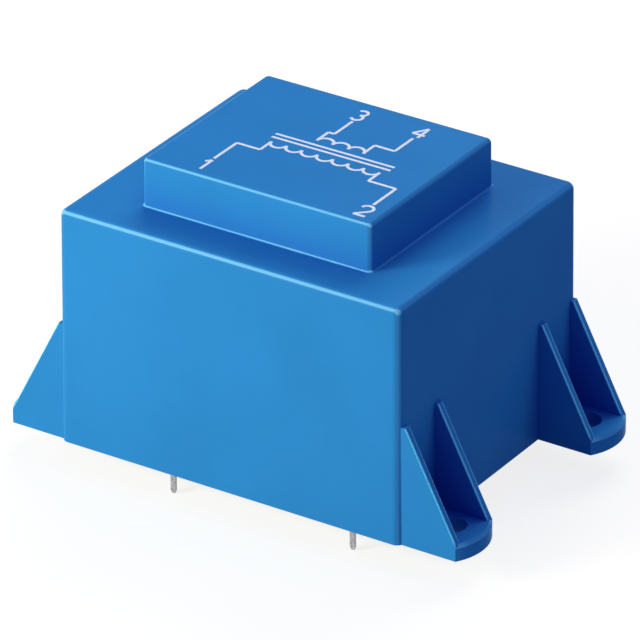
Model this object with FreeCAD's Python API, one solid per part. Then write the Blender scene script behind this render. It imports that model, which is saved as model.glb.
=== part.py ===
import FreeCAD, Part
import math
import os

from FreeCAD import Vector

# Encapsulated circuit-board transformer with four gusseted screw feet, in millimetres.
# X runs along the long side, Y across it and Z up.
# The origin is on the seating plane, at the centre of the four screw holes.

# Sheet steel core
centre_leg = 18.0
outer_leg = 9.0
window_width = 9.0
window_depth = 27.0
yoke = 9.0
sheet_thickness = 0.5
varnish_gap = 0.008
sheet_count = 37

# Winding former with two chambers and two terminal strips
leg_clearance = 0.2
tube_wall = 1.0
flange_to_outer_leg = 0.6
flange_thickness = 1.0
flange_corner = 2.0
window_clearance = 0.1
partition_y = 0.8
strip_bottom = 3.0
strip_thickness = 4.0
strip_to_coil = 0.6
strip_overhang = 2.3
strip_wall_gap = 0.4
strip_slot_width = 1.4
strip_slot_depth = 1.9
lead_notch_height = 1.3
lead_notch_width = 1.8

# Windings and their outer wraps
coil_below_flange = 1.2
winding_side_gap = 0.15
winding_corner = 2.5
tape_thickness = 0.3
tape_slit_gap = 0.1

# Terminal pins, in two rows under the long sides
pin_grid = 5.08
primary_pin_steps = 6
secondary_pin_steps = 2
pin_rows_middle_x = 4.7
pin_to_strip_edge = 0.4
pin_width = 0.8
pin_thickness = 0.45
pin_tip_z = -4.0
pin_tip_length = 0.5
pin_tip_share = 0.55
pin_hold = 3.0

# Leads and the solder that joins them to the pins
primary_wire = 0.3
secondary_wire = 0.5
wire_sides = 8
lead_from_flange = 0.7
lead_from_coil_corner = 1.0
slot_from_pin = 2.6
pin_to_wire_gap = 0.05
wire_past_pin = 0.4
solder_radius = 1.35
solder_height = 1.5
solder_below_strip = 0.1

# Moulded housing: a cup with drafted walls and a raised block over the coil
wall = 1.0
roof = 1.2
draft_angle = 0.36
core_end_gap = 0.681
core_side_gap = 0.101
core_roof_gap = 1.25
coil_roof_gap = 0.4
block_gap_x = 0.83
block_gap_y = 1.7
resin_recess = 0.8
corner_radius = 1.2
top_radius = 1.0
block_corner_radius = 0.8
block_top_radius = 0.7
block_base_radius = 0.35

# Feet: a plate with a rounded end between two triangular gussets
screw_from_wall = 5.1
screw_hole = 4.5
foot_width = 9.8
foot_from_corner = 0.67
foot_plate = 2.5
foot_past_screw = 3.7
foot_crown = 1.55
foot_edge_bevel = 0.45
gusset_thickness = 1.2
gusset_height = 18.7
gusset_ledge = 0.6
gusset_radius = 0.25
foot_root = 0.5

# How far cutting tools reach past the faces that they open
cut_over = 1.0

# The sweep's setting for mitred corners
mitred_corners = 1

# Worked out from the sizes above
core_length = centre_leg + 2 * (window_width + outer_leg)
core_depth = window_depth + 2 * yoke
sheet_pitch = sheet_thickness + varnish_gap
stack = sheet_count * sheet_pitch - varnish_gap
bore_half_x = centre_leg / 2 + leg_clearance
bore_half_z = stack / 2 + leg_clearance
tube_half_x = bore_half_x + tube_wall
tube_half_z = bore_half_z + tube_wall
flange_half_x = centre_leg / 2 + window_width - flange_to_outer_leg
chamber_depth = flange_half_x - tube_half_x
flange_half_z = tube_half_z + chamber_depth
flange_half_y = window_depth / 2 - window_clearance
strip_top = strip_bottom + strip_thickness
coil_z = strip_top + strip_to_coil + flange_half_z
core_bottom = coil_z - stack / 2
core_top = coil_z + stack / 2
slope = math.tan(math.radians(draft_angle))
body_half_x = core_length / 2 + core_end_gap + core_top * slope + wall
body_half_y = core_depth / 2 + core_side_gap + core_top * slope + wall
body_top = core_top + core_roof_gap + roof
block_top = coil_z + flange_half_z + coil_roof_gap + roof
block_half_x = flange_half_x + block_gap_x + wall
block_half_y = flange_half_y + block_gap_y + wall
pin_places = {
    "primary": [pin_rows_middle_x - pin_grid * primary_pin_steps / 2,
                pin_rows_middle_x + pin_grid * primary_pin_steps / 2],
    "secondary": [pin_rows_middle_x - pin_grid * secondary_pin_steps / 2,
                  pin_rows_middle_x + pin_grid * secondary_pin_steps / 2],
}
pin_sides = {"primary": -1, "secondary": 1}
pin_top_z = strip_bottom + pin_hold
strip_edge_y = body_half_y - wall - strip_bottom * slope - strip_wall_gap
pin_row_y = strip_edge_y - pin_to_strip_edge
winding_build = chamber_depth - coil_below_flange
winding_half_x = tube_half_x + winding_build
winding_half_z = tube_half_z + winding_build
winding_bottom = coil_z - winding_half_z
lead_start_y = flange_half_y - flange_thickness - lead_from_flange
hole_x = body_half_x + screw_from_wall
hole_y = body_half_y - foot_from_corner - foot_width / 2
foot_straight_x = hole_x + foot_past_screw

os.makedirs("parts", exist_ok=True)


def box(x0, x1, y0, y1, z0, z1):
    """A block between two opposite corners."""
    return Part.makeBox(x1 - x0, y1 - y0, z1 - z0, Vector(x0, y0, z0))


def rectangle(half_x, half_y, z):
    """A closed rectangular wire centred on the Z axis."""
    corners = [(-half_x, -half_y), (half_x, -half_y), (half_x, half_y), (-half_x, half_y)]
    points = [Vector(x, y, z) for x, y in corners]
    return Part.makePolygon(points + points[:1])


def drafted_block(half_x, half_y, z0, z1):
    """A block whose sides lean in by the draft; the half sizes are those at z0."""
    lean = (z1 - z0) * slope
    low = rectangle(half_x, half_y, z0)
    high = rectangle(half_x - lean, half_y - lean, z1)
    return Part.makeLoft([low, high], True, True)


def upright_edges(shape, z0, z1):
    """Edges that run from one level to another, such as the four corners of a block."""
    found = []
    for edge in shape.Edges:
        bounds = edge.BoundBox
        if abs(bounds.ZMin - z0) < 1e-3 and abs(bounds.ZMax - z1) < 1e-3:
            found.append(edge)
    return found


def top_edges(shape, z):
    """The edges of a shape that lie in its top face at height z."""
    return [edge for edge in shape.Edges if abs(edge.BoundBox.ZMin - z) < 1e-3]


def edges_along_y(shape):
    """The straight edges of a block that run along Y."""
    return [edge for edge in shape.Edges
            if edge.BoundBox.XLength < 1e-6 and edge.BoundBox.ZLength < 1e-6]


def housing_outside():
    """The cup's outer form, with its raised block and all outer edges rounded."""
    body = drafted_block(body_half_x, body_half_y, 0, body_top)
    body = body.makeFillet(corner_radius, upright_edges(body, 0, body_top))
    body = body.makeFillet(top_radius, top_edges(body, body_top))
    rise = block_top - body_top
    spread = rise * slope
    base_x = block_half_x + spread
    base_y = block_half_y + spread
    block = drafted_block(base_x, base_y, body_top, block_top)
    block = block.makeFillet(block_corner_radius, upright_edges(block, body_top, block_top))
    block = block.makeFillet(block_top_radius, top_edges(block, block_top))
    whole = body.fuse(block).removeSplitter()
    root = []
    for edge in whole.Edges:
        bounds = edge.BoundBox
        level = abs(bounds.ZMin - body_top) < 1e-3 and abs(bounds.ZMax - body_top) < 1e-3
        middle = edge.CenterOfMass
        if level and abs(middle.x) < base_x + 0.1 and abs(middle.y) < base_y + 0.1:
            root.append(edge)
    return whole.makeFillet(block_base_radius, root)


def cavity(z0):
    """The hollow of the cup, from level z0 up to its roof."""
    low = drafted_block(body_half_x - wall - z0 * slope, body_half_y - wall - z0 * slope,
                        z0, body_top - roof)
    high_z0 = body_top - roof - cut_over
    lean = (block_top - high_z0) * slope
    high = drafted_block(block_half_x - wall + lean, block_half_y - wall + lean,
                         high_z0, block_top - roof)
    return low.fuse(high).removeSplitter()


def gusset(y0):
    """One triangular gusset with a flat ledge at its top, starting at y0."""
    root_x = body_half_x - foot_root
    ledge_x = body_half_x - gusset_height * slope + gusset_ledge
    profile = [(root_x, 0), (foot_straight_x, 0), (foot_straight_x, foot_plate),
               (ledge_x, gusset_height), (root_x, gusset_height)]
    points = [Vector(x, y0, z) for x, z in profile]
    solid = Part.Face(Part.makePolygon(points + points[:1])).extrude(Vector(0, gusset_thickness, 0))
    slopes = []
    for edge in solid.Edges:
        bounds = edge.BoundBox
        steep = bounds.ZLength > gusset_height / 2 and bounds.XMin > root_x + foot_root
        ledge = bounds.YLength > bounds.XLength and bounds.ZMin > gusset_height / 2
        if steep or (ledge and bounds.XMin > root_x + foot_root):
            slopes.append(edge)
    return solid.makeFillet(gusset_radius, slopes)


def foot():
    """The foot at +X +Y: a plate with a bowed end between two gussets."""
    y0 = hole_y - foot_width / 2
    y1 = hole_y + foot_width / 2
    root_x = body_half_x - foot_root
    bow = Part.Arc(Vector(foot_straight_x, y0, 0), Vector(foot_straight_x + foot_crown, hole_y, 0),
                   Vector(foot_straight_x, y1, 0)).toShape()
    sides = Part.makePolygon([Vector(foot_straight_x, y1, 0), Vector(root_x, y1, 0),
                              Vector(root_x, y0, 0), Vector(foot_straight_x, y0, 0)])
    plate = Part.Face(Part.Wire(sides.Edges + [bow])).extrude(Vector(0, 0, foot_plate))
    bowed = [edge for edge in plate.Edges
             if edge.BoundBox.ZMin > foot_plate / 2 and edge.BoundBox.XMax > foot_straight_x + foot_crown / 2]
    plate = plate.makeChamfer(foot_edge_bevel, bowed)
    return plate.fuse([gusset(y0), gusset(y1 - gusset_thickness)]).removeSplitter()


def housing():
    """The moulded cup with its four feet and screw holes."""
    one = foot()
    other = one.mirror(Vector(0, 0, 0), Vector(0, 1, 0))
    pair = [one, other]
    feet = pair + [shape.mirror(Vector(0, 0, 0), Vector(1, 0, 0)) for shape in pair]
    shell = housing_outside().fuse(feet)
    shell = shell.cut(cavity(0))
    holes = []
    for x in (-hole_x, hole_x):
        for y in (-hole_y, hole_y):
            holes.append(Part.makeCylinder(screw_hole / 2, foot_plate + 2 * cut_over,
                                           Vector(x, y, -cut_over)))
    return shell.cut(holes).removeSplitter()


def outline(points, z):
    """A closed polygon wire at height z."""
    corners = [Vector(x, y, z) for x, y in points]
    return Part.makePolygon(corners + corners[:1])


def core_sheets():
    """The E and I sheets, laid in turn from both sides."""
    leg = centre_leg / 2
    gap = leg + window_width
    end = core_length / 2
    back = core_depth / 2
    tip = window_depth / 2
    e_points = [(-end, -back), (end, -back), (end, tip), (gap, tip), (gap, -tip), (leg, -tip),
                (leg, tip), (-leg, tip), (-leg, -tip), (-gap, -tip), (-gap, tip), (-end, tip)]
    i_points = [(-end, tip), (end, tip), (end, back), (-end, back)]
    e_sheets = []
    i_sheets = []
    for layer in range(sheet_count):
        turn = 1 if layer % 2 == 0 else -1
        z = core_bottom + layer * sheet_pitch
        for points, sheets in ((e_points, e_sheets), (i_points, i_sheets)):
            wire = outline([(x, turn * y) for x, y in points], z)
            sheets.append(Part.Face(wire).extrude(Vector(0, 0, sheet_thickness)))
    return Part.makeCompound(e_sheets), Part.makeCompound(i_sheets)


def core_envelope():
    """The block that the core fills, with its two windows."""
    block = box(-core_length / 2, core_length / 2, -core_depth / 2, core_depth / 2, core_bottom, core_top)
    inner = centre_leg / 2
    outer = inner + window_width
    half = window_depth / 2
    windows = [box(inner, outer, -half, half, core_bottom, core_top),
               box(-outer, -inner, -half, half, core_bottom, core_top)]
    return block.cut(windows)


def sleeve(half_x, half_z, build, y0, y1, corner):
    """A closed band round the coil axis, between two rectangles with rounded outer corners."""
    outer = box(-half_x - build, half_x + build, y0, y1, coil_z - half_z - build, coil_z + half_z + build)
    outer = outer.makeFillet(corner, edges_along_y(outer))
    inner = box(-half_x, half_x, y0, y1, coil_z - half_z, coil_z + half_z)
    if corner > build:
        inner = inner.makeFillet(corner - build, edges_along_y(inner))
    return outer.cut(inner)


def flange(y0):
    """One flange of the former, with rounded corners, starting at y0."""
    plate = box(-flange_half_x, flange_half_x, y0, y0 + flange_thickness,
                coil_z - flange_half_z, coil_z + flange_half_z)
    return plate.makeFillet(flange_corner, edges_along_y(plate))


def on_side(solid, side):
    """The solid as built for the +Y side, or its mirror image for the -Y side."""
    if side < 0:
        return solid.mirror(Vector(0, 0, 0), Vector(0, 1, 0))
    return solid


def lead_start_x(place):
    """Where a lead leaves its winding: beside its slot, but within the coil."""
    reach = winding_half_x - winding_corner - lead_from_coil_corner
    return max(-reach, min(reach, slot_x(place)))


def slot_x(place):
    """The strip's slot beside a pin, on the side towards the row's middle."""
    return place - math.copysign(slot_from_pin, place - pin_rows_middle_x)


def strip(name):
    """The terminal strip of one winding, under the yoke, with a slot beside each pin."""
    half_x = max(abs(place) for places in pin_places.values() for place in places) + strip_overhang
    y_in = flange_half_y - flange_thickness
    bar = box(-half_x, half_x, y_in, strip_edge_y, strip_bottom, strip_top)
    web = box(-flange_half_x + flange_corner, flange_half_x - flange_corner, y_in, flange_half_y,
              strip_bottom, coil_z - flange_half_z + flange_corner)
    solid = bar.fuse(web)
    cuts = []
    for place in pin_places[name]:
        x = slot_x(place)
        cuts.append(box(x - strip_slot_width / 2, x + strip_slot_width / 2,
                        strip_edge_y - strip_slot_depth, strip_edge_y + cut_over,
                        strip_bottom - cut_over, strip_top + cut_over))
        cuts.append(pin(place, 1))
    return on_side(solid.cut(cuts), pin_sides[name])


def former():
    """The moulded winding former."""
    tube = box(-tube_half_x, tube_half_x, -flange_half_y, flange_half_y,
               coil_z - tube_half_z, coil_z + tube_half_z)
    plates = [flange(-flange_half_y), flange(partition_y), flange(flange_half_y - flange_thickness)]
    solid = tube.fuse(plates + [strip(name) for name in pin_sides])
    bore = box(-bore_half_x, bore_half_x, -flange_half_y - cut_over, flange_half_y + cut_over,
               coil_z - bore_half_z, coil_z + bore_half_z)
    cuts = [bore]
    for name, side in pin_sides.items():
        for place in pin_places[name]:
            middle = flange_half_y - flange_thickness / 2
            share = (middle - lead_start_y) / (pin_row_y - lead_start_y)
            x = lead_start_x(place) + share * (slot_x(place) - lead_start_x(place))
            cuts.append(box(x - lead_notch_width / 2, x + lead_notch_width / 2,
                            side * middle - flange_thickness, side * middle + flange_thickness,
                            strip_top, strip_top + lead_notch_height))
    return solid.cut(cuts).removeSplitter()


def pin(place, side):
    """One flat terminal pin with a tapered tip, at a place along the row on the given side."""
    x = pin_width / 2
    y = pin_thickness / 2
    shank = box(-x, x, -y, y, pin_tip_z + pin_tip_length, pin_top_z)
    low = rectangle(x * pin_tip_share, y * pin_tip_share, pin_tip_z)
    high = rectangle(x, y, pin_tip_z + pin_tip_length)
    solid = shank.fuse(Part.makeLoft([low, high], True, True)).removeSplitter()
    solid.translate(Vector(place, side * pin_row_y, 0))
    return solid


def mitred_wire(points, diameter):
    """A wire in straight runs with mitred corners; its first run stands upright."""
    angles = [2 * math.pi * (side + 0.5) / wire_sides for side in range(wire_sides)]
    ring = [points[0] + Vector(math.cos(angle), math.sin(angle), 0) * (diameter / 2) for angle in angles]
    section = Part.makePolygon(ring + ring[:1])
    return Part.makePolygon(points).makePipeShell([section], True, False, mitred_corners)


def joint_z():
    """The level at which the leads meet their pins, halfway up the solder."""
    return strip_bottom - solder_below_strip - solder_height / 2


def lead(place, side, wire):
    """A lead from its winding, over the strip, down its slot and along the side of its pin."""
    x0 = lead_start_x(place)
    x1 = slot_x(place)
    over = strip_top + lead_notch_height / 2
    z = joint_z()
    near_y = pin_row_y - pin_thickness / 2 - pin_to_wire_gap - wire / 2
    end_x = place + math.copysign(pin_width / 2 + wire_past_pin, place - x1)
    points = [Vector(x0, lead_start_y, winding_bottom), Vector(x0, lead_start_y, over),
              Vector(x1, near_y, over), Vector(x1, near_y, z), Vector(end_x, near_y, z)]
    return on_side(mitred_wire(points, wire), side)


def tape_slit(place, side, wire):
    """The slit through which a lead comes out of its winding's tape."""
    x = lead_start_x(place)
    half = wire / 2 + tape_slit_gap
    solid = box(x - half, x + half, lead_start_y - half, lead_start_y + half,
                winding_bottom - tape_thickness - cut_over, winding_bottom)
    return on_side(solid, side)


def solder(place, side, wire_solid):
    """The solder round a pin and the end of its lead."""
    blob = Part.makeCylinder(solder_radius, solder_height,
                             Vector(place, side * pin_row_y, strip_bottom - solder_below_strip - solder_height))
    hollow = cavity(0)
    return blob.common(hollow).cut([pin(place, side), wire_solid])


def export(name, shape):
    shape.exportStep("parts/" + name + ".step")
    print(name, "solids", len(shape.Solids), "valid", shape.isValid(), "volume", round(shape.Volume, 1))


def main():
    e_sheets, i_sheets = core_sheets()
    winding_spans = {
        "primary": (-flange_half_y + flange_thickness, partition_y),
        "secondary": (partition_y + flange_thickness, flange_half_y - flange_thickness),
    }
    wires = {"primary": primary_wire, "secondary": secondary_wire}
    pieces = {
        "housing": housing(),
        "core_e_laminations": e_sheets,
        "core_i_laminations": i_sheets,
        "bobbin": former(),
    }
    solders = []
    for name, (y0, y1) in winding_spans.items():
        y0 = y0 + winding_side_gap
        y1 = y1 - winding_side_gap
        slits = []
        side = pin_sides[name]
        for number, place in enumerate(pin_places[name], 1):
            solid = lead(place, side, wires[name])
            slits.append(tape_slit(place, side, wires[name]))
            pieces[name + "_pin_" + str(number)] = pin(place, side)
            pieces[name + "_lead_" + str(number)] = solid
            solders.append(solder(place, side, solid))
        pieces[name + "_winding"] = sleeve(tube_half_x, tube_half_z, winding_build, y0, y1, winding_corner)
        tape = sleeve(winding_half_x, winding_half_z, tape_thickness, y0, y1, winding_corner + tape_thickness)
        pieces[name + "_tape"] = tape.cut(slits)
    pieces["solder_joints"] = Part.makeCompound(solders)
    bore = box(-bore_half_x, bore_half_x, -flange_half_y, flange_half_y,
               coil_z - bore_half_z, coil_z + bore_half_z)
    inside = [core_envelope(), bore]
    for name, shape in pieces.items():
        if name != "housing" and "laminations" not in name:
            inside.extend(shape.Solids)
    pieces["potting_resin"] = cavity(resin_recess).cut(inside).removeSplitter()
    for name, shape in pieces.items():
        export(name, shape)


main()
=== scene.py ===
import math

import bmesh
import bpy
from mathutils import Matrix, Vector


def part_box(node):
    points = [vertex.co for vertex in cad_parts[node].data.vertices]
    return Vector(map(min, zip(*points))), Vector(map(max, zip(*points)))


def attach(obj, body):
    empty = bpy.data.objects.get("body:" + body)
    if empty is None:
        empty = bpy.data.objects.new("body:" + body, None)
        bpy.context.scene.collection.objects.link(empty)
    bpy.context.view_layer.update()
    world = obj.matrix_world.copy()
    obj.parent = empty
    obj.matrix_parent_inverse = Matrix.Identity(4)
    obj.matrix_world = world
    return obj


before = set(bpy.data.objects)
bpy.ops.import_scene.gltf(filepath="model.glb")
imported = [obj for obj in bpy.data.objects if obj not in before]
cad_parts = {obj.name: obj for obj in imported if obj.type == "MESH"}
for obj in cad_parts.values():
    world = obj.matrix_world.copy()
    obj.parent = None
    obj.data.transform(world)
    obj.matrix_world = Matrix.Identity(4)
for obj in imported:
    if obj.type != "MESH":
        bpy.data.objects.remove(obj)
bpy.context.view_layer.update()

# Encapsulated circuit-board transformer: finishes, small cast and printed details, light and camera.
# Units are metres; X runs along the long side, Y across it and Z up.

MM = 0.001

# Camera, as in the photograph: angles in degrees, lens and sensor in millimetres
camera_azimuth = 33.06
camera_elevation = 27.94
camera_roll = -0.21
camera_target = Vector((0.8, -0.9, 17.8)) * MM
camera_distance = 1.098
camera_lens = 431.4
camera_sensor = 36.0
camera_reach = 20.0

# Soft boxes: name, direction from the part, distance, size and power
soft_boxes = (
    ("key_light", (-0.52, -0.76, 0.40), 0.34, 0.10, 0.60),
    ("front_light", (-0.25, -0.92, 0.20), 0.60, 0.20, 1.20),
    ("top_light", (-0.14, 0.70, 0.70), 0.60, 0.40, 1.65),
    ("right_light", (0.80, 0.30, 0.52), 0.60, 0.35, 0.32),
)

# The surroundings that light the part, and the white that is seen in their place
ambient_colour = (0.15, 0.15, 1.0)
ambient_strength = 0.34
white = (1.0, 1.0, 1.0)
white_strength = 1.0

# The floor: its colour as it lights the part, and its shadow's colour and its glow as it is seen
floor_size = 6.0
floor_colour = (0.36, 0.36, 0.36)
floor_seen_colour = (0.32, 0.32, 0.22)
floor_glow = 0.82

# Finishes: linear colours, and each roughness from its lowest to its highest.
# "dark" is how deep the darker tone is, "depth" the height of the bumps and "stretch" their direction.
even = (1.0, 1.0, 1.0)
cream = (0.74, 0.71, 0.62)
copper = (0.55, 0.16, 0.045)
# In the moulded looks, the darker colour for recesses is painted shade, and the lighter edge and slant
# colours are painted highlights
housing_look = {
    "face": (0.036, 0.305, 0.575), "recess_shade": (0.030, 0.165, 0.500), "edge": (0.220, 0.700, 0.840),
    "slant": (0.140, 0.900, 1.000), "sheen": (0.60, 0.95, 1.00), "roughness": (0.22, 0.27),
    "specular": 0.006, "edge_coat": 0.30, "slant_coat": 0.70, "grain": 0.12 * MM, "depth": 0.003 * MM,
}
former_look = {
    "face": cream, "recess_shade": (0.60, 0.56, 0.46), "edge": cream,
    "slant": cream, "sheen": white, "roughness": (0.42, 0.58),
    "specular": 0.40, "edge_coat": 0.10, "slant_coat": 0.0, "grain": 0.2 * MM, "depth": 0.006 * MM,
}
pin_look = {
    "colour": (0.58, 0.58, 0.57), "dark": 0.50, "metallic": 0.65, "roughness": (0.22, 0.40),
    "stretch": (1.0, 1.0, 0.25), "grain": 0.16 * MM, "depth": 0.006 * MM,
}
solder_look = {
    "colour": (0.66, 0.67, 0.69), "dark": 0.80, "metallic": 1.0, "roughness": (0.18, 0.38),
    "stretch": even, "grain": 0.5 * MM, "depth": 0.02 * MM,
}
lead_look = {
    "colour": copper, "dark": 0.80, "metallic": 1.0, "roughness": (0.20, 0.35),
    "stretch": even, "grain": 0.4 * MM, "depth": 0.004 * MM,
}
steel_look = {
    "colour": (0.42, 0.43, 0.45), "dark": 0.35, "metallic": 0.9, "roughness": (0.30, 0.55),
    "pitch": 0.508 * MM, "wander": 0.4, "grain": 1.5 * MM, "depth": 0.05 * MM,
}
winding_look = {
    "colour": copper, "dark": 0.35, "metallic": 0.95, "roughness": (0.20, 0.38),
    "coat": 0.6, "coat_roughness": 0.15, "wander": 0.6, "grain": 2 * MM,
}
primary_turn = 0.35 * MM
secondary_turn = 0.55 * MM
film_look = {
    "colour": (0.72, 0.50, 0.05), "dark": 0.85, "roughness": (0.16, 0.32), "coat": 0.4,
    "stretch": (1.0, 0.25, 1.0), "clouds": 5 * MM, "grain": 1.2 * MM, "depth": 0.08 * MM,
}
resin_look = {
    "colour": (0.018, 0.018, 0.020), "tones": (0.5, 2.2), "roughness": (0.24, 0.42), "specular": 0.45,
    "clouds": 8 * MM, "patches": 3 * MM, "waves": 6 * MM, "wave_depth": 0.12 * MM,
    "pits": 2.6 * MM, "pit_depth": 0.06 * MM,
}
ink_look = {
    "colour": (0.88, 1.00, 0.90), "dark": 0.72, "roughness": (0.60, 0.45), "specular": 0.8,
    "grain": 0.35 * MM,
}

# Marks that every moulding has: clouds of colour, patches of gloss and slow waves of its faces
mould_tones = (0.97, 1.03)
mould_clouds = 14 * MM
mould_patches = 0.9 * MM
mould_waves = 16 * MM
mould_wave_depth = 0.02 * MM

# Painted shade in hollows: how far around a place other faces close it in, and how open the most and the
# least shaded places are
recess_reach = 12 * MM
recess_samples = 16
recess_deep = 0.25
recess_plain = 0.85

# Which edges get a painted highlight and more gloss, from how far the surface faces along the axes.
# A face turns to an edge from edge_to down to edge_from; the other spans say which way an edge runs.
edge_from = 0.80
edge_to = 0.90
edge_sideways = (0.25, 0.45)
edge_upward = (0.10, 0.28)
edge_least = 0.15
slant_span = (0.02, 0.07)

# Where the feet start beside the body, the top of their plates, and how soon their slopes begin
feet_from = 29.1 * MM
feet_blend = 0.2 * MM
plate_top = 2.5 * MM
plate_blend = 0.5 * MM

# Printed marks on the block
ink_line = 0.46 * MM
ink_film = 0.012 * MM
ink_sink = 0.01 * MM
ink_step = 0.0012 * MM
number_height = 3.1 * MM
number_gap = 0.6 * MM
number_limit = 16.2 * MM
number_middle = (0.32, 0.5)
symbol_x = 2.5 * MM
symbol_pitch = 2.6 * MM
symbol_gap = 1.9 * MM
symbol_lead = 3.0 * MM
core_gap = 0.55 * MM
core_line = 20 * MM
front_row = 12.9 * MM
back_row = 11.8 * MM
curve_steps = 14
loop_steps = 10

# Each printed winding: its side, its pins, their numbers, its loops and the row of its numbers
printed_windings = (
    (-1, "primary", (1, 2), 7, -front_row),
    (1, "secondary", (3, 4), 3, back_row),
)

# Where the resin creeps up the wall and the pins
rim_width = 0.7 * MM
rim_height = 0.35 * MM
pin_rim_width = 0.6 * MM
pin_rim_height = 0.4 * MM
rim_steps = 6
pin_rim_points = 24

# The terminals, by winding and number
terminals = [(side, number) for side in ("primary", "secondary") for number in ("1", "2")]


def add(tree, kind, **inputs):
    """A shader node with its input sockets set by name; underscores stand for spaces."""
    node = tree.nodes.new(kind)
    for name, value in inputs.items():
        node.inputs[name.replace("_", " ")].default_value = value
    return node


def new_material(name, **inputs):
    """A material with a Principled shader, its sockets set by name, that feeds its output."""
    material = bpy.data.materials.new(name)
    material.use_nodes = True
    tree = material.node_tree
    tree.nodes.clear()
    output = tree.nodes.new("ShaderNodeOutputMaterial")
    shader = add(tree, "ShaderNodeBsdfPrincipled", **inputs)
    tree.links.new(shader.outputs["BSDF"], output.inputs["Surface"])
    return material, tree, shader


def stretched(tree, scale):
    """Object coordinates, stretched by a factor for each axis."""
    place = tree.nodes.new("ShaderNodeTexCoord")
    mapping = tree.nodes.new("ShaderNodeMapping")
    mapping.inputs["Scale"].default_value = scale
    tree.links.new(place.outputs["Object"], mapping.inputs["Vector"])
    return mapping.outputs["Vector"]


def noise(tree, vector, grain, detail=2.0, roughness=0.5):
    """Noise whose features are about one grain wide, in metres."""
    node = add(tree, "ShaderNodeTexNoise", Scale=1.0 / grain, Detail=detail, Roughness=roughness)
    tree.links.new(vector, node.inputs["Vector"])
    return node.outputs["Fac"]


def lines(tree, vector, axis, pitch, wander):
    """Lines side by side along an axis, one for each pitch in metres, that wander a little."""
    node = add(tree, "ShaderNodeTexWave", Scale=math.pi / (10 * pitch), Distortion=wander)
    node.bands_direction = axis
    tree.links.new(vector, node.inputs["Vector"])
    return node.outputs["Fac"]


def spread(tree, value, low, high, start=0.35, end=0.65):
    """Maps a value's span, by default the usual span of noise, to another span."""
    node = add(tree, "ShaderNodeMapRange", From_Min=start, From_Max=end, To_Min=low, To_Max=high)
    tree.links.new(value, node.inputs["Value"])
    return node.outputs["Result"]


def mixed(tree, factor, first, second, under=None):
    """A colour between two colours, by a factor from 0 to 1; under takes the first one's place."""
    node = tree.nodes.new("ShaderNodeMix")
    node.data_type = "RGBA"
    node.inputs["A"].default_value = (*first, 1.0)
    node.inputs["B"].default_value = (*second, 1.0)
    tree.links.new(factor, node.inputs["Factor"])
    if under is not None:
        tree.links.new(under, node.inputs["A"])
    return node.outputs["Result"]


def shade(colour, factor):
    """A colour made lighter or darker."""
    return tuple(min(1.0, channel * factor) for channel in colour)


def bump(tree, height, strength, depth, under=None):
    """A bump from a height of 0 to 1, over another one where given."""
    node = add(tree, "ShaderNodeBump", Strength=strength, Distance=depth)
    tree.links.new(height, node.inputs["Height"])
    if under is not None:
        tree.links.new(under, node.inputs["Normal"])
    return node.outputs["Normal"]


def joined(tree, operation, first, second):
    """Two values joined by one operation."""
    node = tree.nodes.new("ShaderNodeMath")
    node.operation = operation
    tree.links.new(first, node.inputs[0])
    tree.links.new(second, node.inputs[1])
    return node.outputs["Value"]


def parts_of(tree, kind):
    """The X, Y and Z of a texture coordinate, such as Normal or Object, without their signs."""
    place = tree.nodes.new("ShaderNodeTexCoord")
    size = tree.nodes.new("ShaderNodeVectorMath")
    size.operation = "ABSOLUTE"
    split = tree.nodes.new("ShaderNodeSeparateXYZ")
    tree.links.new(place.outputs[kind], size.inputs[0])
    tree.links.new(size.outputs["Vector"], split.inputs["Vector"])
    return [split.outputs[axis] for axis in "XYZ"]


def slant_highlight_and_gloss(tree, facing):
    """1 on the gussets' sloping edges, which face along all three axes, and 0 elsewhere: where they get a
    painted highlight and more gloss.
    """
    x, y, z = facing
    slant = joined(tree, "MULTIPLY", joined(tree, "MULTIPLY", x, y), z)
    edge = spread(tree, slant, 0.0, 1.0, *slant_span)
    place = parts_of(tree, "Object")
    beside = spread(tree, place[0], 0.0, 1.0, feet_from, feet_from + feet_blend)
    above = spread(tree, place[2], 0.0, 1.0, plate_top, plate_top + plate_blend)
    return joined(tree, "MULTIPLY", edge, joined(tree, "MULTIPLY", beside, above))


def edge_highlight_and_gloss(tree, facing):
    """How much painted highlight and gloss an edge gets: 0 on faces square to the axes, least on edges that
    stand upright or run along Y, and 1 on the edges that run along X."""
    x, y, z = facing
    largest = joined(tree, "MAXIMUM", joined(tree, "MAXIMUM", x, y), z)
    edge = spread(tree, largest, 1.0, 0.0, edge_from, edge_to)
    sideways = spread(tree, y, 0.0, 1.0, *edge_sideways)
    upward = spread(tree, z, 0.0, 1.0, *edge_upward)
    highlight_weight = spread(tree, joined(tree, "MULTIPLY", sideways, upward), edge_least, 1.0, 0.0, 1.0)
    return joined(tree, "MULTIPLY", edge, highlight_weight)


def painted_shade_share(tree):
    """Painted shade: 0 on open faces, rising to 1 where the piece's own faces close a place in."""
    node = add(tree, "ShaderNodeAmbientOcclusion", Distance=recess_reach)
    node.samples = recess_samples
    node.only_local = True
    return spread(tree, node.outputs["AO"], 1.0, 0.0, recess_deep, recess_plain)


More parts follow.
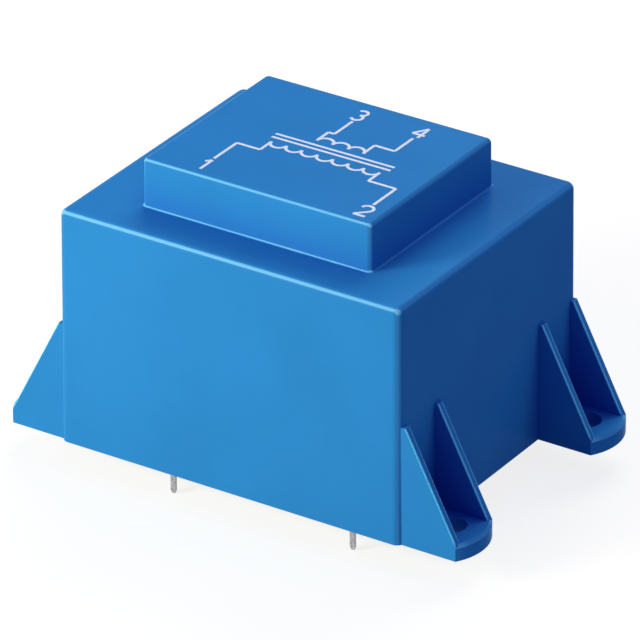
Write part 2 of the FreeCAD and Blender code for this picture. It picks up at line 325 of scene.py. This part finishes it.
def moulded(name, look):
    """Moulded plastic: matt spark-eroded faces, painted shade in recesses, painted highlights and more
    gloss on edges, and slight clouds of colour."""
    low, high = look["roughness"]
    material, tree, shader = new_material(name, Specular_IOR_Level=look["specular"],
                                          Specular_Tint=(*look["sheen"], 1.0), Coat_Roughness=high)
    place = stretched(tree, even)
    facing = parts_of(tree, "Normal")
    edges = edge_highlight_and_gloss(tree, facing)
    slants = slant_highlight_and_gloss(tree, facing)
    clouds = spread(tree, noise(tree, place, mould_clouds, 3.0), 0.0, 1.0)
    tones = mixed(tree, clouds, *(shade(look["face"], tone) for tone in mould_tones))
    # Painted shade in recesses, laid over the clouds of colour
    deep = mixed(tree, painted_shade_share(tree), look["face"], look["recess_shade"], tones)
    # Painted highlight on the edges, strongest on the upper edges that run along X
    edge_highlighted = mixed(tree, edges, look["face"], look["edge"], deep)
    # Painted highlight on the gussets' sloping edges
    slant_highlighted = mixed(tree, slants, look["edge"], look["slant"], edge_highlighted)
    tree.links.new(slant_highlighted, shader.inputs["Base Color"])
    patches = noise(tree, place, mould_patches, 4.0, 0.6)
    tree.links.new(spread(tree, patches, low, high), shader.inputs["Roughness"])
    gloss = joined(tree, "ADD", spread(tree, edges, 0.0, look["edge_coat"], 0.0, 1.0),
                   spread(tree, slants, 0.0, look["slant_coat"], 0.0, 1.0))
    tree.links.new(gloss, shader.inputs["Coat Weight"])
    waves = bump(tree, noise(tree, place, mould_waves, 1.0), 0.25, mould_wave_depth)
    fine = bump(tree, noise(tree, place, look["grain"], 3.0, 0.6), 0.5, look["depth"], waves)
    tree.links.new(fine, shader.inputs["Normal"])
    return material


def cast_resin(look):
    """Casting resin: dark and slightly glossy, with a gently uneven surface and small pits."""
    material, tree, shader = new_material("cast_resin", Specular_IOR_Level=look["specular"])
    place = stretched(tree, even)
    clouds = spread(tree, noise(tree, place, look["clouds"], 3.0), 0.0, 1.0)
    tones = mixed(tree, clouds, *(shade(look["colour"], tone) for tone in look["tones"]))
    tree.links.new(tones, shader.inputs["Base Color"])
    patches = noise(tree, place, look["patches"], 3.0)
    tree.links.new(spread(tree, patches, *look["roughness"]), shader.inputs["Roughness"])
    waves = bump(tree, noise(tree, place, look["waves"], 1.0), 0.6, look["wave_depth"])
    cells = add(tree, "ShaderNodeTexVoronoi", Scale=1.0 / look["pits"])
    tree.links.new(place, cells.inputs["Vector"])
    pits = spread(tree, cells.outputs["Distance"], 0.0, 1.0, 0.03, 0.12)
    tree.links.new(bump(tree, pits, 0.5, look["pit_depth"], waves), shader.inputs["Normal"])
    return material


def metal(name, look):
    """Metal with streaks or patches of different gloss and tone, some dull with oxide."""
    material, tree, shader = new_material(name, Metallic=look["metallic"])
    marks = noise(tree, stretched(tree, look["stretch"]), look["grain"], 4.0, 0.6)
    tones = mixed(tree, spread(tree, marks, 0.0, 1.0), shade(look["colour"], look["dark"]), look["colour"])
    tree.links.new(tones, shader.inputs["Base Color"])
    tree.links.new(spread(tree, marks, *look["roughness"]), shader.inputs["Roughness"])
    tree.links.new(bump(tree, marks, 0.4, look["depth"]), shader.inputs["Normal"])
    return material


def stacked_steel(look):
    """Varnished sheets seen on edge, with one dark line for each sheet."""
    material, tree, shader = new_material("stacked_steel", Metallic=look["metallic"])
    place = stretched(tree, even)
    sheets = spread(tree, lines(tree, place, "Z", look["pitch"], look["wander"]), 0.0, 1.0, 0.05, 0.35)
    tones = mixed(tree, sheets, shade(look["colour"], look["dark"]), look["colour"])
    tree.links.new(tones, shader.inputs["Base Color"])
    patches = noise(tree, place, look["grain"], 4.0)
    tree.links.new(spread(tree, patches, *look["roughness"]), shader.inputs["Roughness"])
    tree.links.new(bump(tree, sheets, 0.5, look["depth"]), shader.inputs["Normal"])
    return material


def wound_copper(look, pitch):
    """Enamelled wire in turns of one pitch, side by side along Y."""
    material, tree, shader = new_material("wound_copper", Metallic=look["metallic"],
                                          Coat_Weight=look["coat"], Coat_Roughness=look["coat_roughness"])
    place = stretched(tree, even)
    turns = lines(tree, place, "Y", pitch, look["wander"])
    tones = mixed(tree, turns, shade(look["colour"], look["dark"]), look["colour"])
    tree.links.new(tones, shader.inputs["Base Color"])
    patches = noise(tree, place, look["grain"], 3.0)
    tree.links.new(spread(tree, patches, *look["roughness"]), shader.inputs["Roughness"])
    tree.links.new(bump(tree, turns, 0.7, pitch / 4), shader.inputs["Normal"])
    return material


def wrapped_film(look):
    """Insulating film in overlapping wraps, with slight wrinkles."""
    material, tree, shader = new_material("wrapped_film", Coat_Weight=look["coat"])
    wrinkles = noise(tree, stretched(tree, look["stretch"]), look["grain"], 4.0, 0.6)
    clouds = spread(tree, noise(tree, stretched(tree, even), look["clouds"]), 0.0, 1.0)
    tones = mixed(tree, clouds, shade(look["colour"], look["dark"]), look["colour"])
    tree.links.new(tones, shader.inputs["Base Color"])
    tree.links.new(spread(tree, wrinkles, *look["roughness"]), shader.inputs["Roughness"])
    tree.links.new(bump(tree, wrinkles, 0.5, look["depth"]), shader.inputs["Normal"])
    return material


def printed_ink(look):
    """Pad-printed ink with slightly uneven cover."""
    material, tree, shader = new_material("printed_ink", Specular_IOR_Level=look["specular"])
    patches = noise(tree, stretched(tree, even), look["grain"], 4.0, 0.7)
    cover = spread(tree, patches, 0.0, 1.0, 0.3, 0.55)
    tones = mixed(tree, cover, shade(look["colour"], look["dark"]), look["colour"])
    tree.links.new(tones, shader.inputs["Base Color"])
    tree.links.new(spread(tree, cover, *look["roughness"], 0.0, 1.0), shader.inputs["Roughness"])
    return material


def set_finish(node, material):
    """Puts a finish into a CAD node's material slots."""
    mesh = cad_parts[node].data
    if not mesh.materials:
        mesh.materials.append(material)
    for index in range(len(mesh.materials)):
        mesh.materials[index] = material


def piece(name, mesh_data, material):
    """A mesh object that rides on the part and takes one finish."""
    mesh = bpy.data.meshes.new(name)
    bmesh.ops.recalc_face_normals(mesh_data, faces=mesh_data.faces)
    mesh_data.to_mesh(mesh)
    mesh_data.free()
    mesh.materials.append(material)
    thing = bpy.data.objects.new(name, mesh)
    bpy.context.scene.collection.objects.link(thing)
    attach(thing, "root")
    return thing


def ribbon(data, points, width, low, high):
    """A flat printed line through points (x, y), from one level to another."""
    rows = []
    for index, point in enumerate(points):
        before = Vector(points[max(index - 1, 0)])
        after = Vector(points[min(index + 1, len(points) - 1)])
        along = (after - before).normalized()
        across = Vector((-along.y, along.x)) * width / 2
        left = Vector(point) + across
        right = Vector(point) - across
        rows.append([data.verts.new((left.x, left.y, high)), data.verts.new((right.x, right.y, high)),
                     data.verts.new((right.x, right.y, low)), data.verts.new((left.x, left.y, low))])
    for first, second in zip(rows, rows[1:]):
        for side in range(4):
            follow = (side + 1) % 4
            data.faces.new((first[side], first[follow], second[follow], second[side]))
    data.faces.new(rows[0])
    data.faces.new(list(reversed(rows[-1])))


def arc(middle, radius, start, end, steps=curve_steps):
    """Points on an arc, with its angles in degrees."""
    angles = [math.radians(start + (end - start) * step / steps) for step in range(steps + 1)]
    return [(middle[0] + radius * math.cos(angle), middle[1] + radius * math.sin(angle)) for angle in angles]


def numeral(number):
    """The strokes of one plain numeral, one unit high and about 0.6 wide."""
    strokes = {
        1: [[(0.12, 0.76), (0.36, 1.0)], [(0.36, 1.0), (0.36, 0.0)]],
        2: [arc((0.3, 0.70), 0.3, 170, -35) + [(0.0, 0.0)], [(0.0, 0.0), (0.62, 0.0)]],
        3: [arc((0.28, 0.75), 0.25, 150, -90), arc((0.28, 0.26), 0.27, 90, -150)],
        4: [[(0.46, 0.0), (0.46, 1.0)], [(0.46, 1.0), (0.0, 0.30)], [(0.0, 0.30), (0.66, 0.30)]],
    }
    return strokes[number]


def winding(start_x, end_x, y, side, loops):
    """A row of half loops along X, which stands for one winding."""
    radius = (end_x - start_x) / (2 * loops)
    middles = [(start_x + radius * (2 * loop + 1), y) for loop in range(loops)]
    return [arc(middle, radius, 180, 180 - side * 180, loop_steps) for middle in middles]


def printed_strokes():
    """Every printed line: the core, each winding with its leads, and the pin numbers."""
    half_core = core_line / 2
    middle_u, middle_v = number_middle
    strokes = [[(symbol_x - half_core, y), (symbol_x + half_core, y)] for y in (-core_gap, core_gap)]
    for side, name, numbers, loops, row_y in printed_windings:
        half = symbol_pitch * loops / 2
        y = side * symbol_gap
        turn_y = y + side * symbol_lead
        near_y = row_y - side * (number_height / 2 + number_gap)
        strokes.extend(winding(symbol_x - half, symbol_x + half, y, side, loops))
        for index, number in enumerate(numbers):
            low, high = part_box(name + "_pin_" + str(index + 1))
            pin_x = max(-number_limit, min(number_limit, (low.x + high.x) / 2))
            x = symbol_x + (2 * index - 1) * half
            strokes.append([(x, y), (x, turn_y)])
            strokes.append([(x, turn_y), (pin_x, turn_y)])
            strokes.append([(pin_x, turn_y), (pin_x, near_y)])
            for stroke in numeral(number):
                strokes.append([(pin_x + (u - middle_u) * number_height,
                                 row_y + (v - middle_v) * number_height) for u, v in stroke])
    return strokes


def printed_marks():
    """The pin numbers and a plain winding symbol, printed on the raised block."""
    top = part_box("housing")[1].z
    data = bmesh.new()
    for index, points in enumerate(printed_strokes()):
        ribbon(data, points, ink_line, top - ink_sink, top + ink_film + index * ink_step)
    return piece("printed_marks", data, printed_ink(ink_look))


def creep(data, outline_at, width, height, level):
    """A concave rim where resin climbs a wall; outline_at gives the outline at a distance from it."""
    rings = []
    for step in range(rim_steps + 1):
        share = step / rim_steps
        rise = height * (1 - share) ** 2
        rings.append([data.verts.new((x, y, level - rise)) for x, y in outline_at(width * share)])
    for outer, inner in zip(rings, rings[1:]):
        for index in range(len(outer)):
            follow = (index + 1) % len(outer)
            data.faces.new((outer[index], outer[follow], inner[follow], inner[index]))


def resin_rims(material):
    """The resin's creep up the housing's wall and up each pin, seen from below."""
    low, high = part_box("potting_resin")
    data = bmesh.new()

    def along_wall(inset):
        x = high.x - inset
        y = high.y - inset
        return [(-x, -y), (x, -y), (x, y), (-x, y)]

    creep(data, along_wall, rim_width, rim_height, low.z)
    for side, number in terminals:
        corner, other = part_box(side + "_pin_" + number)
        middle = (corner + other) / 2
        half = (other - corner) / 2

        def round_pin(outset, middle=middle, half=half):
            points = []
            for step in range(pin_rim_points):
                angle = 2 * math.pi * (step + 0.5) / pin_rim_points
                x = math.cos(angle)
                y = math.sin(angle)
                points.append((middle.x + math.copysign(half.x, x) + x * outset,
                               middle.y + math.copysign(half.y, y) + y * outset))
            return points

        creep(data, round_pin, pin_rim_width, pin_rim_height, low.z)
    thing = piece("resin_rims", data, material)
    for polygon in thing.data.polygons:
        polygon.use_smooth = True
    return thing


def finishes(resin):
    """Every CAD node gets its finish."""
    steel = stacked_steel(steel_look)
    film = wrapped_film(film_look)
    pin = metal("tinned_metal", pin_look)
    lead = metal("enamelled_lead", lead_look)
    plan = {
        "housing": moulded("moulded_housing", housing_look),
        "bobbin": moulded("moulded_former", former_look),
        "potting_resin": resin,
        "core_e_laminations": steel,
        "core_i_laminations": steel,
        "primary_winding": wound_copper(winding_look, primary_turn),
        "secondary_winding": wound_copper(winding_look, secondary_turn),
        "primary_tape": film,
        "secondary_tape": film,
        "solder_joints": metal("solidified_solder", solder_look),
    }
    for side, number in terminals:
        plan[side + "_pin_" + number] = pin
        plan[side + "_lead_" + number] = lead
    for node, material in plan.items():
        set_finish(node, material)


def area_light(name, direction, distance, size, power):
    """A square soft box that faces the part."""
    data = bpy.data.lights.new(name, "AREA")
    data.shape = "SQUARE"
    data.size = size
    data.energy = power
    lamp = bpy.data.objects.new(name, data)
    place = camera_target + Vector(direction).normalized() * distance
    lamp.location = place
    lamp.rotation_euler = (camera_target - place).to_track_quat("-Z", "Y").to_euler()
    bpy.context.scene.collection.objects.link(lamp)


def seen_directly(tree):
    """1 for camera, mirror and see-through rays, and 0 for the rays that light the part."""
    path = tree.nodes.new("ShaderNodeLightPath")
    plain = joined(tree, "MAXIMUM", path.outputs["Is Camera Ray"], path.outputs["Is Glossy Ray"])
    return joined(tree, "MAXIMUM", plain, path.outputs["Is Transmission Ray"])


def chosen(tree, factor, first, second):
    """The first shader at a factor of 0, and the second one at 1."""
    node = tree.nodes.new("ShaderNodeMixShader")
    tree.links.new(factor, node.inputs["Fac"])
    tree.links.new(first.outputs[0], node.inputs[1])
    tree.links.new(second.outputs[0], node.inputs[2])
    return node


def surroundings():
    """A world that is white where it is seen and a plain soft light otherwise."""
    world = bpy.data.worlds.new("studio")
    world.use_nodes = True
    tree = world.node_tree
    tree.nodes.clear()
    ambient = add(tree, "ShaderNodeBackground", Color=(*ambient_colour, 1.0), Strength=ambient_strength)
    seen = add(tree, "ShaderNodeBackground", Color=(*white, 1.0), Strength=white_strength)
    output = tree.nodes.new("ShaderNodeOutputWorld")
    both = chosen(tree, seen_directly(tree), ambient, seen)
    tree.links.new(both.outputs["Shader"], output.inputs["Surface"])
    bpy.context.scene.world = world


def floor_finish():
    """Pale where it lights the part, near white with a soft shadow where it is seen, clear from below."""
    material = bpy.data.materials.new("pale_floor")
    material.use_nodes = True
    tree = material.node_tree
    tree.nodes.clear()
    plain = add(tree, "ShaderNodeBsdfDiffuse", Color=(*floor_colour, 1.0))
    shadow = add(tree, "ShaderNodeBsdfDiffuse", Color=(*floor_seen_colour, 1.0))
    glow = add(tree, "ShaderNodeEmission", Color=(*white, 1.0), Strength=floor_glow)
    seen = tree.nodes.new("ShaderNodeAddShader")
    tree.links.new(shadow.outputs["BSDF"], seen.inputs[0])
    tree.links.new(glow.outputs["Emission"], seen.inputs[1])
    above = chosen(tree, seen_directly(tree), plain, seen)
    clear = tree.nodes.new("ShaderNodeBsdfTransparent")
    below = tree.nodes.new("ShaderNodeNewGeometry")
    both = chosen(tree, below.outputs["Backfacing"], above, clear)
    output = tree.nodes.new("ShaderNodeOutputMaterial")
    tree.links.new(both.outputs["Shader"], output.inputs["Surface"])
    return material


def floor(level):
    """A pale floor at the pins' tips."""
    data = bmesh.new()
    bmesh.ops.create_grid(data, x_segments=1, y_segments=1, size=floor_size / 2)
    mesh = bpy.data.meshes.new("floor")
    data.to_mesh(mesh)
    data.free()
    mesh.materials.append(floor_finish())
    thing = bpy.data.objects.new("floor", mesh)
    thing.location = (0, 0, level)
    bpy.context.scene.collection.objects.link(thing)


def camera():
    """The camera at the photograph's angle."""
    azimuth = math.radians(camera_azimuth)
    elevation = math.radians(camera_elevation)
    roll = math.radians(camera_roll)
    back = Vector((math.sin(azimuth) * math.cos(elevation), -math.cos(azimuth) * math.cos(elevation),
                   math.sin(elevation)))
    level = Vector((math.cos(azimuth), math.sin(azimuth), 0.0))
    upright = back.cross(level)
    right = level * math.cos(roll) + upright * math.sin(roll)
    up = upright * math.cos(roll) - level * math.sin(roll)
    data = bpy.data.cameras.new("camera")
    data.lens = camera_lens
    data.sensor_width = camera_sensor
    data.clip_end = camera_reach
    thing = bpy.data.objects.new("camera", data)
    bpy.context.scene.collection.objects.link(thing)
    turn = Matrix((right, up, back)).transposed().to_4x4()
    thing.matrix_world = Matrix.Translation(camera_target + back * camera_distance) @ turn
    bpy.context.scene.camera = thing


def main():
    resin = cast_resin(resin_look)
    finishes(resin)
    printed_marks()
    resin_rims(resin)
    for soft_box in soft_boxes:
        area_light(*soft_box)
    surroundings()
    floor(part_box("primary_pin_1")[0].z)
    camera()
    bpy.context.scene.view_settings.view_transform = "Standard"


main()
